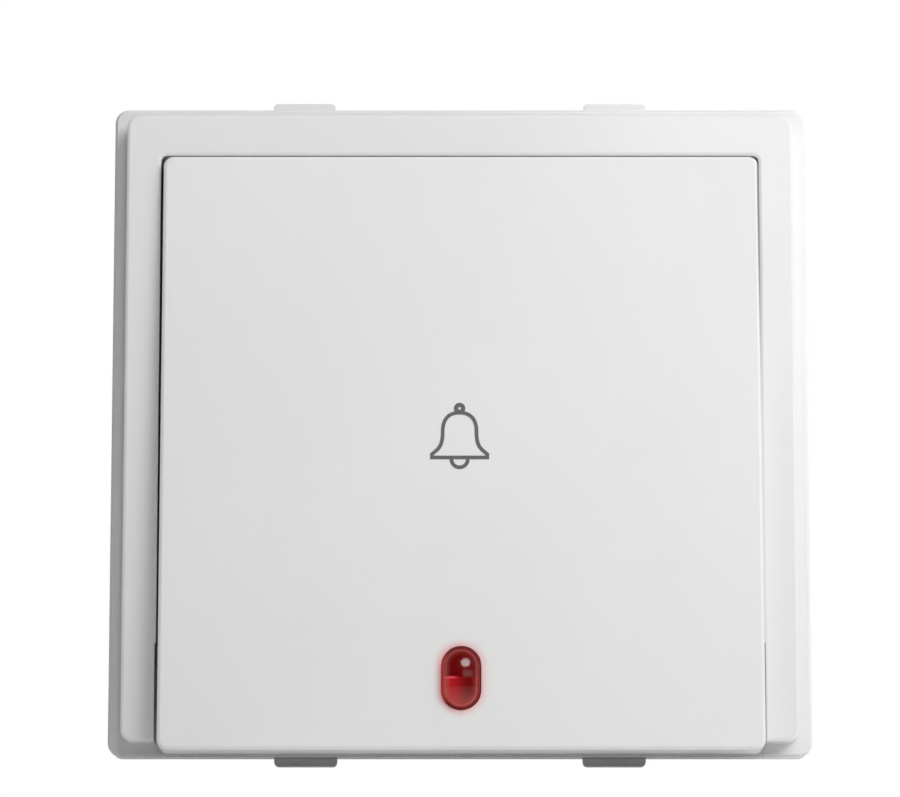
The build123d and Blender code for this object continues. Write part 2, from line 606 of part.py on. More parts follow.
# Lever bracket: tab on the left terminal, strip on the floor, two ears round the lever
tab_half = BLOCK_WIDTH / 2 - TAB_INSET
tab_bottom = block_bottom + TAB_INSET
tab_top = block_top
tab_span = (-terminal_offset - tab_half, -terminal_offset + tab_half)
lever_bracket = block(*tab_span, strip_plane_front, floor_front, tab_bottom, tab_top)
ear_low_out = lever_low - EAR_GAP - STRIP_THICKNESS
ear_high_out = lever_high + EAR_GAP + STRIP_THICKNESS
foot_left = -terminal_offset - STRIP_WIDTH / 2
foot_right = lever_pivot_x + LEVER_HUB_RADIUS
lever_bracket += block(foot_left, foot_right, strip_plane_front, floor_front, ear_low_out, ear_high_out)
foot_high = max(tab_top, ear_low_out) + STRIP_THICKNESS
neck_right = -terminal_offset + tab_half
lever_bracket += block(foot_left, neck_right, strip_plane_front, floor_front, tab_bottom, foot_high)
bracket_ears = [(ear_low_out, lever_low - EAR_GAP), (lever_high + EAR_GAP, ear_high_out)]
for ear_z0, ear_z1 in bracket_ears:
    ear_left = lever_pivot_x - LEVER_HUB_RADIUS
    lever_bracket += block(ear_left, foot_right, lever_pivot_y, floor_front, ear_z0, ear_z1)
    eye_low = (lever_pivot_x, lever_pivot_y, ear_z0)
    eye_high = (lever_pivot_x, lever_pivot_y, ear_z1)
    lever_bracket += rod(eye_low, eye_high, LEVER_HUB_RADIUS)
    lever_bracket -= rod(eye_low, eye_high, LEVER_PIN_RADIUS + LEVER_PIN_CLEARANCE)
pin_low = (lever_pivot_x, lever_pivot_y, ear_low_out - EAR_GAP)
pin_high = (lever_pivot_x, lever_pivot_y, ear_high_out + EAR_GAP)
lever_pin = rod(pin_low, pin_high, LEVER_PIN_RADIUS)

# Fixed contact strip: tab on the right terminal, arm to the fixed contact
tab_left = terminal_offset - tab_half
tab_span = (tab_left, terminal_offset + tab_half)
fixed_contact_strip = block(*tab_span, strip_plane_front, floor_front, tab_bottom, tab_top)
rise_right = tab_left + STRIP_WIDTH
rise_span = (tab_left, rise_right)
fixed_contact_strip += block(*rise_span, strip_plane_front, floor_front, tab_bottom, lever_high)
arm_left = lever_tip_x - TIP_RADIUS - TAB_INSET
fixed_contact_strip += block(arm_left, rise_right, strip_plane_front, floor_front, lever_low, lever_high)
fixed_start = (lever_tip_x, strip_plane_front, plunger_z)
fixed_contact_tip = rod(fixed_start, (lever_tip_x, fixed_tip_face, plunger_z), TIP_RADIUS)
tip_edge = fixed_contact_tip.edges().filter_by(GeomType.CIRCLE).sort_by(Axis.Y)[0]
fixed_contact_tip = chamfer(tip_edge, TIP_CHAMFER)

# Lever spring between the lever and the housing's floor
lever_spring_front = lever_back + SPRING_END_GAP
lever_spring_back = floor_front - SPRING_END_GAP
lever_spring_size = (LEVER_COIL_RADIUS, LEVER_WIRE_RADIUS, LEVER_SPRING_TURNS)
lever_spring = coil(0, plunger_z, lever_spring_front, lever_spring_back, *lever_spring_size)


def terminal_block(x):
    """A brass block with a wire bore from below and a screw hole from the back."""
    solid = block(x - BLOCK_WIDTH / 2, x + BLOCK_WIDTH / 2, floor_front, block_back, block_bottom, block_top)
    bore_top = block_bottom + WIRE_BORE_DEPTH
    solid -= rod((x, wire_bore_y, block_bottom), (x, wire_bore_y, bore_top), WIRE_BORE_RADIUS)
    screw_z = block_bottom + BLOCK_HEIGHT / 2
    solid -= rod((x, wire_bore_y, screw_z), (x, block_back, screw_z), SCREW_RADIUS + SCREW_CLEARANCE)
    return solid


def terminal_screw(x):
    """A slotted screw that stops short of the wire bore."""
    screw_z = block_bottom + BLOCK_HEIGHT / 2
    tip = wire_bore_y + WIRE_BORE_RADIUS + SCREW_TIP_GAP
    head_start = block_back + SCREW_HEAD_GAP
    head_end = head_start + SCREW_HEAD_HEIGHT
    solid = rod((x, tip, screw_z), (x, head_start, screw_z), SCREW_RADIUS)
    solid += rod((x, head_start, screw_z), (x, head_end, screw_z), SCREW_HEAD_RADIUS)
    slot_low = screw_z - SCREW_SLOT_WIDTH / 2
    slot_high = screw_z + SCREW_SLOT_WIDTH / 2
    slot_start = head_end - SCREW_SLOT_DEPTH
    solid -= block(x - SCREW_HEAD_RADIUS, x + SCREW_HEAD_RADIUS, slot_start, beyond, slot_low, slot_high)
    return solid


def cover_screw(x):
    """A small pan-head screw with a slot, from the front."""
    head_start = cover_front - COVER_SCREW_HEAD_HEIGHT
    shank_end = cover_front + COVER_SCREW_LENGTH
    solid = rod((x, head_start, cover_screw_z), (x, cover_front, cover_screw_z), COVER_SCREW_HEAD_RADIUS)
    solid += rod((x, cover_front, cover_screw_z), (x, shank_end, cover_screw_z), COVER_SCREW_RADIUS)
    slot_low = cover_screw_z - SCREW_SLOT_WIDTH / 2
    slot_high = cover_screw_z + SCREW_SLOT_WIDTH / 2
    slot_end = head_start + SCREW_SLOT_DEPTH
    slot_span = (x - COVER_SCREW_HEAD_RADIUS, x + COVER_SCREW_HEAD_RADIUS)
    solid -= block(*slot_span, head_start, slot_end, slot_low, slot_high)
    return solid


left_terminal_block = terminal_block(-terminal_offset)
right_terminal_block = terminal_block(terminal_offset)
left_terminal_screw = terminal_screw(-terminal_offset)
right_terminal_screw = terminal_screw(terminal_offset)
cover_screws = Compound([cover_screw(-cover_screw_offset), cover_screw(cover_screw_offset)])

# Glow lamp: one sealed glass bulb with a tapered end
lamp_start = (-LAMP_LENGTH / 2, lamp_y, lamp_z)
lamp_end = (LAMP_LENGTH / 2, lamp_y, lamp_z)
glow_lamp = rod(lamp_start, lamp_end, LAMP_RADIUS)
tapered_end = glow_lamp.edges().filter_by(GeomType.CIRCLE).sort_by(Axis.X)[0]
glow_lamp = chamfer(tapered_end, LAMP_END_CHAMFER)

# The lamp's leads leave its right end: one goes to the right tab, one to the resistor
lead_start_x = LAMP_LENGTH / 2
lower_z = lamp_z - LEAD_SPREAD
upper_z = lamp_z + LEAD_SPREAD
tab_x = tab_left + LEAD_INSET
lower_lead = wire_along(
    [(lead_start_x, lamp_y, lower_z), (tab_x, lamp_y, lower_z), (tab_x, strip_plane_front, lower_z)],
    LEAD_RADIUS,
    WIRE_SIDES,
)
upper_end_x = lead_start_x + LEAD_RUN
upper_path = [(lead_start_x, lamp_y, upper_z), (upper_end_x, lamp_y, upper_z)]
upper_lead = wire_along(upper_path, LEAD_RADIUS, WIRE_SIDES)
lamp_leads = Compound([lower_lead, upper_lead])

# Series resistor with its two leads
resistor_half = RESISTOR_LENGTH / 2
body_left = (-resistor_half, resistor_y, resistor_z)
body_right = (resistor_half, resistor_y, resistor_z)
series_resistor = rod(body_left, body_right, RESISTOR_RADIUS)
series_resistor = chamfer(series_resistor.edges().filter_by(GeomType.CIRCLE), RESISTOR_END_CHAMFER)
joint_x = lead_start_x + LEAD_INSET
joint_z = upper_z + LEAD_RADIUS
right_path = [body_right, (joint_x, resistor_y, resistor_z), (joint_x, resistor_y, joint_z)]
series_resistor += wire_along(right_path, LEAD_RADIUS, WIRE_SIDES)
left_tab_x = -terminal_offset + tab_half - LEAD_INSET
left_path = [body_left, (left_tab_x, resistor_y, resistor_z), (left_tab_x, strip_plane_front, resistor_z)]
series_resistor += wire_along(left_path, LEAD_RADIUS, WIRE_SIDES)

nodes = {
    "front_frame": front_frame,
    "push_plate": push_plate,
    "indicator_lens": indicator_lens,
    "inner_cover": inner_cover,
    "rear_housing": rear_housing,
    "plunger": plunger,
    "return_spring": return_spring,
    "contact_lever": contact_lever,
    "lever_contact_tip": lever_contact_tip,
    "lever_pin": lever_pin,
    "lever_spring": lever_spring,
    "lever_bracket": lever_bracket,
    "fixed_contact_strip": fixed_contact_strip,
    "fixed_contact_tip": fixed_contact_tip,
    "left_terminal_block": left_terminal_block,
    "right_terminal_block": right_terminal_block,
    "left_terminal_screw": left_terminal_screw,
    "right_terminal_screw": right_terminal_screw,
    "cover_screws": cover_screws,
    "glow_lamp": glow_lamp,
    "lamp_leads": lamp_leads,
    "series_resistor": series_resistor,
}

os.makedirs("parts", exist_ok=True)
for name, shape in nodes.items():
    export_step(shape, f"parts/{name}.step")
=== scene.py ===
"""Doorbell switch: materials, printed sign, springs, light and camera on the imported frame.

Metres, in the frame of the CAD model: X right, Z up, Y into the wall.
"""

import json
from math import cos, pi, radians, sin

import bmesh
import bpy
from mathutils import Matrix, Vector


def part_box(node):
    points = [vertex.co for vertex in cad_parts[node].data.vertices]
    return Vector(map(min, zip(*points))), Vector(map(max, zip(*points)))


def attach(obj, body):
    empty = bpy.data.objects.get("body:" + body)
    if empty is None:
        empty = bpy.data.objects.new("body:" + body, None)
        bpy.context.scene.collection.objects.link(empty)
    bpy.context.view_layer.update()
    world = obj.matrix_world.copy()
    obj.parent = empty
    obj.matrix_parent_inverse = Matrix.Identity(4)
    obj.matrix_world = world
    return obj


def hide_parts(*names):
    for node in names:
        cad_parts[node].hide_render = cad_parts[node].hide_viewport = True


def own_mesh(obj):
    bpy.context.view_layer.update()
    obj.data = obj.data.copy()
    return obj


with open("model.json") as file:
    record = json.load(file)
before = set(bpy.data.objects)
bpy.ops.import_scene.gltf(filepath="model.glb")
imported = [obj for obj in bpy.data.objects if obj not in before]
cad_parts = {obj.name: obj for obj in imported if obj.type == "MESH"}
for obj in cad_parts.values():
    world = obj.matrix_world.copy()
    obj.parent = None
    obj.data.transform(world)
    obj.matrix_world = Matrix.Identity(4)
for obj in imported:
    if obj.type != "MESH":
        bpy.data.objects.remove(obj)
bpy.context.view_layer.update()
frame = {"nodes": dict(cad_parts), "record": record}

MM = 0.001

# Push plate as in the CAD model: its hinge, its tilt at rest and its flat front
HINGE = Vector((0.0, 1.2, 15.0)) * MM
REST_TILT = radians(1.65)
PLATE_FRONT = -3.9 * MM
PLATE_SHIFT = 0.075 * MM
TO_HINGE = Matrix.Translation(HINGE)
FROM_HINGE = Matrix.Translation(-HINGE)
PLATE_TILT = TO_HINGE @ Matrix.Rotation(-REST_TILT, 4, "X") @ FROM_HINGE

# Indicator lens on the flat plate
LENS_Z = -16.677 * MM
LENS_HALF_WIDTH = 1.21 * MM
LENS_HALF_RUN = 0.785 * MM

# Painted light and shade of the lens, standing in for light through its clear red plastic: its tones,
# from left to right or from its lower half to its upper, and where they change, from its middle or, as
# depths, from its outline
LENS_HALVES = (-0.05 * MM, 0.12 * MM)
LENS_SIDES = (-0.85 * MM, 0.55 * MM)
# Painted light seen through the lens, lighter on the left and darker on the right
LENS_INNER_LIGHT = ((0.5, 0.012, 0.016, 1.0), (0.15, 0.003, 0.004, 1.0))
# Painted light in the lower half, lighter on the left
LENS_LIT = ((0.52, 0.045, 0.042, 1.0), (0.21, 0.036, 0.03, 1.0))
LENS_LIT_HEIGHTS = (-1.4 * MM, -0.7 * MM)
# Painted shade of the dark upper half
LENS_UPPER = (0.14, 0.0012, 0.002, 1.0)
# Painted highlight along the lens's inner step
LENS_STEP = (0.78, 0.09, 0.11, 1.0)
LENS_STEP_HEIGHTS = (0.03 * MM, 0.1 * MM)
LENS_STEP_SIDES = (-0.65 * MM, -0.1 * MM)
LENS_STEP_AMOUNT = 0.95
# Painted light in a band inside the outline
LENS_BAND = ((0.5, 0.05, 0.046, 1.0), (0.24, 0.035, 0.033, 1.0))
LENS_BAND_DEPTHS = (-0.62 * MM, -0.3 * MM)
LENS_BAND_SIDES = (-0.9 * MM, 0.9 * MM)
LENS_BAND_AMOUNTS = (0.75, 0.3)
# Painted highlight: a thin bright line inside the outline
LENS_LINE = ((0.45, 0.09, 0.085, 1.0), (0.34, 0.085, 0.083, 1.0))
LENS_LINE_INSET = 0.24 * MM
LENS_LINE_WIDTH = (0.03 * MM, 0.09 * MM)
LENS_LINE_AMOUNT = 0.7
# Painted shade of the dark rim, and a painted glow there: emission, though the lens is no lamp
LENS_RIM = ((0.24, 0.035, 0.032, 1.0), (0.09, 0.003, 0.005, 1.0))
LENS_RIM_GLOW = ((0.2, 0.008, 0.006, 1.0), (0.07, 0.001, 0.001, 1.0))
LENS_RIM_DEPTHS = (-0.17 * MM, -0.12 * MM)
LENS_RIM_SIDES = (-1.15 * MM, -0.8 * MM)
LENS_RIM_ROUGHNESS = 0.4
LENS_ROUGHNESS = (0.06, 0.1)

# Front frame: outer edge and opening, and the middle of the narrow gap beside the plate
FLANGE_HALF_HEIGHT = 21.2 * MM
OPENING_TOP = 17.71 * MM
GAP_X = 19.345 * MM

# Painted shade: a dark grey painted into the narrow gap, under the flange and in the screw slots, where
# shade falls
PAINTED_SHADE = (0.12, 0.12, 0.115, 1.0)
# Painted shadow line in the narrow right side of the gap beside the plate
GAP_SHADE_LEAN = 0.07 * MM
GAP_SHADE_WIDTH = (0.03 * MM, 0.07 * MM)
GAP_SHADE_HEIGHTS = (-3.0 * MM, 15.0 * MM)
GAP_SHADE_AMOUNTS = (0.15, 0.8)
GAP_SHADE_ENDS = (0.4 * MM, 0.1 * MM)
# Painted shade on the flange's underside, darker towards its back
SEAT_SHADE_HEIGHTS = (0.02 * MM, 0.08 * MM)
SEAT_LUG_HEIGHTS = (-0.02 * MM, -0.005 * MM)
SEAT_SHADE_DEPTHS = (-1.4 * MM, -0.9 * MM)
SEAT_SHADE_AMOUNT = 0.8
SLOT_HALF_WIDTH = 0.4 * MM
SLOT_DEPTH = 0.6 * MM
SLOT_SIDES = (SLOT_HALF_WIDTH + 0.01 * MM, SLOT_HALF_WIDTH + 0.03 * MM)
SLOT_FLOOR = (SLOT_DEPTH + 0.02 * MM, SLOT_DEPTH + 0.04 * MM)
# Painted shade in the screw slots, darker deeper down
SLOT_SHADE_DEPTHS = (0.02 * MM, 0.4 * MM)
SLOT_SHADE_AMOUNT = 0.9

# Noise in the finishes: scales in waves a metre, and the ranges that are used of it
FLOW_RANGE = (0.35, 0.65)
NOISE_RANGE = (0.3, 0.7)
MOULD_FLOW_SCALE = 90.0
PLATE_FLOW_SCALE = 70.0
FRAME_FLOW_SCALE = 60.0
PLATE_GRAIN_SCALE = 5200.0
FRAME_POLISH_SCALE = 350.0
LENS_CLOUD_SCALE = 900.0
GLASS_COAT_SCALE = 300.0
LACQUER_SCALE = 500.0
INK_SCALE = 4000.0
FLOOR_SCALE = 40.0

# Metal: fine lines along the work, and tarnish
LINE_SCALE = 2500.0
LINE_RANGE = (0.25, 0.75)
LINE_DEPTH = 0.002 * MM
TARNISH_SCALE = 220.0
TARNISH_RANGE = (0.4, 0.75)
ALONG_X = (0.05, 1.0, 1.0)
ALONG_Y = (1.0, 0.05, 1.0)
ROUND = (1.0, 1.0, 1.0)

# White moulding: two tones of its flow, its polish, and the lens's red light on it
WHITES = ((0.80, 0.80, 0.795, 1.0), (0.815, 0.815, 0.81, 1.0))
PLATE_ROUGHNESS = (0.5, 0.62)
PLATE_GRAIN_DEPTH = 0.004 * MM
FRAME_ROUGHNESS = (0.07, 0.09)
GLOW = (0.85, 0.45, 0.45, 1.0)
GLOW_REACH = (-0.1 * MM, 0.66 * MM)
GLOW_AMOUNT = 0.9
GLOW_SIDES = (-1.6 * MM, 1.2 * MM)
GLOW_SHARES = (1.2, 0.75)

# Printed bell sign: sizes from its base line, pulls that bend its sides, and steps of its curves
SIGN_X = -0.02 * MM
SIGN_BASE_Z = -2.58 * MM
SIGN_STROKE = 0.24 * MM
SIGN_LIFT = 0.012 * MM
RING_LIFT = 0.004 * MM
BELL_HALF_WIDTH = 1.89 * MM
BELL_RIM_HEIGHT = 0.33 * MM
BELL_WAIST_HALF = 1.2 * MM
BELL_WAIST_HEIGHT = 1.85 * MM
BELL_TOP_HEIGHT = 3.16 * MM
RING_HEIGHT = 3.32 * MM
RING_RADIUS = 0.365 * MM
RING_HOLE = 0.09 * MM
CLAPPER_RADIUS = 0.64 * MM
RIM_PULL = Vector((-0.42 * MM, 0.36 * MM))
WAIST_PULL = 0.68
SHOULDER_PULL = Vector((0.0, 0.7 * MM))
CROWN_PULL = Vector((0.75 * MM, 0.0))
CURVE_STEPS = 16
RING_STEPS = 32
CLAPPER_STEPS = 24
SHARPEST_MITRE = 0.4

# Tones of the small parts, and the resistor's painted bands from left to right
GLASS_ROUGHNESS = (0.03, 0.12)
GLASS_TONES = ((0.95, 0.93, 0.9, 1.0), (0.8, 0.76, 0.7, 1.0))
LACQUER_TONES = ((0.55, 0.4, 0.25, 1.0), (0.62, 0.47, 0.32, 1.0))
RESISTOR_BANDS = (
    (-1.6 * MM, (0.35, 0.05, 0.03, 1.0)),
    (-0.6 * MM, (0.02, 0.02, 0.02, 1.0)),
    (0.4 * MM, (0.75, 0.55, 0.05, 1.0)),
)
BAND_HALF_WIDTH = (0.22 * MM, 0.26 * MM)
RESISTOR_HALF = 3.1 * MM
BARE_WIRE = (0.7, 0.7, 0.7, 1.0)
INK_ROUGHNESS = (0.45, 0.6)
INK_TONES = ((0.12, 0.12, 0.12, 1.0), (0.145, 0.145, 0.145, 1.0))

# Coil springs: axis place, ends, coil and wire radius, turns, and the length kept when pressed
SPRING_X = 0.0
SPRING_Z = -3.947 * MM
RETURN_SPAN = (2.02 * MM, 6.58 * MM)
RETURN_COIL = 2.6 * MM
RETURN_WIRE = 0.24 * MM
LEVER_SPAN = (9.52 * MM, 12.768 * MM)
LEVER_COIL = 1.5 * MM
LEVER_WIRE = 0.17 * MM
SPRING_TURNS = 3.0
STEPS_PER_TURN = 24
WIRE_ROUNDNESS = 3
RETURN_KEPT = 0.89
LEVER_KEPT = 0.8

# Rounding of the mouldings' edges
EDGE_RADIUS = 0.1 * MM
EDGE_SAMPLES = 6

# Stage: floor, camera and lamps
FLOOR_Z = -21.78 * MM
FLOOR_SIZE = 1.2
FLOOR_CLEAR = 0.25
FLOOR_COLOURS = ((0.86, 0.86, 0.86, 1.0), (0.9, 0.9, 0.9, 1.0))
CAMERA_PITCH = radians(10.0)
CAMERA_DISTANCE = 301.67 * MM
CAMERA_AIM = Vector((-0.634, -1.5, 2.033)) * MM
CAMERA_LENS = 186.55
CAMERA_SENSOR = 36.0
CAMERA_NEAREST = 10.0 * MM
KEY_PLACE = Vector((150.0, -140.0, 140.0)) * MM
KEY_SIZE = 0.2
KEY_POWER = 0.548
FRONT_PLACE = Vector((28.0, -306.0, 135.0)) * MM
FRONT_SIZE = 0.055
FRONT_POWER = 0.09

# World: fill lobes by direction, sharpness and strength; then what polished surfaces mirror,
# a dark room in front, a white backdrop behind and a window whose sides are slopes from the front
FILL_LOBES = (
    ((0.0, 0.0, 1.0), 1.0, 0.386),
    ((0.0, 0.0, -1.0), 1.0, 1.09),
    ((0.0, 1.0, 0.0), 6.0, 2.6),
)
ROOM_STRENGTH = 0.05
BACKDROP_STRENGTH = 1.0
BACKDROP_RANGE = (0.2, 0.7)
WINDOW_STRENGTH = 1.5
WINDOW_NEAREST = 0.05
WINDOW_LEFT = (0.03, 0.045)
WINDOW_RIGHT = (0.2, 0.25)
WINDOW_BOTTOM = (0.17, 0.2)
WINDOW_TOP = (0.3, 0.35)


class Shader:
    """A node material under construction, with short calls for the nodes used here."""

    def __init__(self, name):
        self.material = bpy.data.materials.new(name)
        self.material.use_nodes = True
        self.tree = self.material.node_tree
        self.surface = self.tree.nodes["Principled BSDF"]
        coordinates = self.tree.nodes.new("ShaderNodeTexCoord")
        self.place = coordinates.outputs["Object"]

    def link(self, value, socket):
        """Sets a socket to a number or colour, or joins it to an output."""
        if isinstance(value, bpy.types.NodeSocket):
            self.tree.links.new(value, socket)
        else:
            socket.default_value = value

    def math(self, operation, *values):
        node = self.tree.nodes.new("ShaderNodeMath")
        node.operation = operation
        for value, socket in zip(values, node.inputs):
            self.link(value, socket)
        return node.outputs[0]

    def noise(self, scale, detail=3.0, stretch=(1.0, 1.0, 1.0)):
        """Noise in object space, with its own stretch along the axes."""
        mapping = self.tree.nodes.new("ShaderNodeMapping")
        mapping.inputs["Scale"].default_value = stretch
        self.link(self.place, mapping.inputs["Vector"])
        node = self.tree.nodes.new("ShaderNodeTexNoise")
        node.inputs["Scale"].default_value = scale
        node.inputs["Detail"].default_value = detail
        self.link(mapping.outputs[0], node.inputs["Vector"])
        return node.outputs["Fac"]

    def ranged(self, value, low, high, to_low=0.0, to_high=1.0):
        """The value moved smoothly from one range into another."""
        node = self.tree.nodes.new("ShaderNodeMapRange")
        node.interpolation_type = "SMOOTHSTEP"
        for item, socket in zip((value, low, high, to_low, to_high), node.inputs):
            self.link(item, socket)
        return node.outputs[0]

    def blend(self, factor, first, second):
        """A colour between two others."""
        node = self.tree.nodes.new("ShaderNodeMix")
        node.data_type = "RGBA"
        self.link(factor, node.inputs[0])
        self.link(first, node.inputs[6])
        self.link(second, node.inputs[7])
        return node.outputs[2]

    def axes(self):
        """The object's own x, y and z."""
        node = self.tree.nodes.new("ShaderNodeSeparateXYZ")
        self.link(self.place, node.inputs[0])
        return node.outputs

    def soften(self, radius):
        """Rounds the look of the edges by a radius in metres."""
        node = self.tree.nodes.new("ShaderNodeBevel")
        node.samples = EDGE_SAMPLES
        node.inputs["Radius"].default_value = radius
        self.link(node.outputs[0], self.surface.inputs["Normal"])
        return node.outputs[0]

    def bump(self, height, depth, normal=None):
        """Surface relief of the given depth in metres."""
        node = self.tree.nodes.new("ShaderNodeBump")
        node.inputs["Strength"].default_value = 1.0
        node.inputs["Distance"].default_value = depth
        self.link(height, node.inputs["Height"])
        if normal:
            self.link(normal, node.inputs["Normal"])
        self.link(node.outputs[0], self.surface.inputs["Normal"])

    def finish(self, **sockets):
        """Sets the shader's sockets by name and returns the material."""
        for name, value in sockets.items():
            self.link(value, self.surface.inputs[name.replace("_", " ")])
        return self.material


def shade(colour, factor):
    """A colour made lighter or darker, with full opacity."""
    return tuple(min(1.0, c * factor) for c in colour[:3]) + (1.0,)


def moulded(name, colour, roughness, grain, depth):
    """Moulded plastic: faint flow in the colour, fine grain in the surface."""
    s = Shader(name)
    flow = s.ranged(s.noise(MOULD_FLOW_SCALE), *FLOW_RANGE)
    fine = s.noise(grain, detail=2.0)
    s.bump(fine, depth)
    return s.finish(
        Base_Color=s.blend(flow, shade(colour, 0.985), shade(colour, 1.01)),
        Roughness=s.ranged(fine, *NOISE_RANGE, roughness - 0.04, roughness + 0.04),
    )


def slot_shade(s):
    """Painted shade in the slots of the terminal screws, darker deeper down."""
    low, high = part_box("left_terminal_screw")
    _, y, z = s.axes()
    away = s.math("ABSOLUTE", s.math("SUBTRACT", z, (low.z + high.z) / 2))
    depth = s.math("SUBTRACT", high.y, y)
    between = s.ranged(away, *SLOT_SIDES, 1.0, 0.0)
    above_floor = s.ranged(depth, *SLOT_FLOOR, 1.0, 0.0)
    amount = s.ranged(depth, *SLOT_SHADE_DEPTHS, 0.0, SLOT_SHADE_AMOUNT)
    return s.math("MULTIPLY", s.math("MULTIPLY", between, above_floor), amount)


def metal(name, colour, roughness, stretch, shade_mask=None):
    """Drawn or pressed metal: fine lines along the work, a little tarnish, painted shade if given."""
    s = Shader(name)
    lines = s.noise(LINE_SCALE, detail=4.0, stretch=stretch)
    tarnish = s.ranged(s.noise(TARNISH_SCALE), *TARNISH_RANGE)
    s.bump(lines, LINE_DEPTH)
    bare = s.blend(tarnish, shade(colour, 1.05), shade(colour, 0.8))
    return s.finish(
        Base_Color=s.blend(shade_mask(s), bare, PAINTED_SHADE) if shade_mask else bare,
        Metallic=1.0,
        Roughness=s.ranged(lines, *LINE_RANGE, roughness - 0.08, roughness + 0.1),
    )


def lens_distance(s):
    """Distance from the lens's outline, over the plate at rest."""
    x, _, z = s.axes()
    middle = PLATE_TILT @ Vector((PLATE_SHIFT, PLATE_FRONT, LENS_Z))
    aside = s.math("SUBTRACT", x, middle.x)
    up = s.math("SUBTRACT", z, middle.z)
    beyond = s.math("MAXIMUM", s.math("SUBTRACT", s.math("ABSOLUTE", up), LENS_HALF_RUN), 0.0)
    squares = s.math("ADD", s.math("MULTIPLY", aside, aside), s.math("MULTIPLY", beyond, beyond))
    return s.math("SUBTRACT", s.math("SQRT", squares), LENS_HALF_WIDTH)


def gap_shadow_line(s):
    """Painted shadow line in the narrow right side of the gap round the plate, fainter lower down."""
    x, _, z = s.axes()
    middle = s.ranged(z, *GAP_SHADE_HEIGHTS, GAP_X, GAP_X - GAP_SHADE_LEAN)
    away = s.math("ABSOLUTE", s.math("SUBTRACT", x, middle))
    line = s.ranged(away, *GAP_SHADE_WIDTH, 1.0, 0.0)
    start, end = (OPENING_TOP - below for below in GAP_SHADE_ENDS)
    below_top = s.ranged(z, start, end, 1.0, 0.0)
    amount = s.ranged(z, *GAP_SHADE_HEIGHTS, *GAP_SHADE_AMOUNTS)
    return s.math("MULTIPLY", s.math("MULTIPLY", line, below_top), amount)


def seat_shade(s):
    """Painted shade on the flange's underside, darker towards its back, but not on the lugs below it.
    """
    _, y, z = s.axes()
    height = s.math("ADD", z, FLANGE_HALF_HEIGHT)
    under = s.ranged(height, *SEAT_SHADE_HEIGHTS, 1.0, 0.0)
    no_lug = s.ranged(height, *SEAT_LUG_HEIGHTS)
    amount = s.ranged(y, *SEAT_SHADE_DEPTHS, 0.0, SEAT_SHADE_AMOUNT)
    return s.math("MULTIPLY", s.math("MULTIPLY", under, no_lug), amount)


def plate_white():
    """Fine matte moulding, tinted by the red light of the lens, with a painted shadow line in the
    narrow gap.
    """
    s = Shader("plate_white")
    flow = s.ranged(s.noise(PLATE_FLOW_SCALE), *FLOW_RANGE)
    fine = s.noise(PLATE_GRAIN_SCALE, detail=2.0)
    s.bump(fine, PLATE_GRAIN_DEPTH, s.soften(EDGE_RADIUS))
    white = s.blend(flow, *WHITES)
    spread = s.ranged(lens_distance(s), *GLOW_REACH, GLOW_AMOUNT, 0.0)
    glow = s.math("MULTIPLY", spread, s.ranged(s.axes()[0], *GLOW_SIDES, *GLOW_SHARES))
    tinted = s.blend(glow, white, GLOW)
    return s.finish(
        Base_Color=s.blend(gap_shadow_line(s), tinted, PAINTED_SHADE),
        Roughness=s.ranged(fine, *NOISE_RANGE, *PLATE_ROUGHNESS),
        Specular_IOR_Level=0.4,
    )


def frame_white():
    """Polished white moulding with a trace of flow, and painted shade in the narrow gap and under the
    flange.
    """
    s = Shader("frame_white")
    flow = s.ranged(s.noise(FRAME_FLOW_SCALE), *FLOW_RANGE)
    polish = s.noise(FRAME_POLISH_SCALE, detail=1.0)
    s.soften(EDGE_RADIUS)
    white = s.blend(flow, *WHITES)
    shade_amount = s.math("MAXIMUM", gap_shadow_line(s), seat_shade(s))
    return s.finish(
        Base_Color=s.blend(shade_amount, white, PAINTED_SHADE),
        Roughness=s.ranged(polish, *NOISE_RANGE, *FRAME_ROUGHNESS),
    )


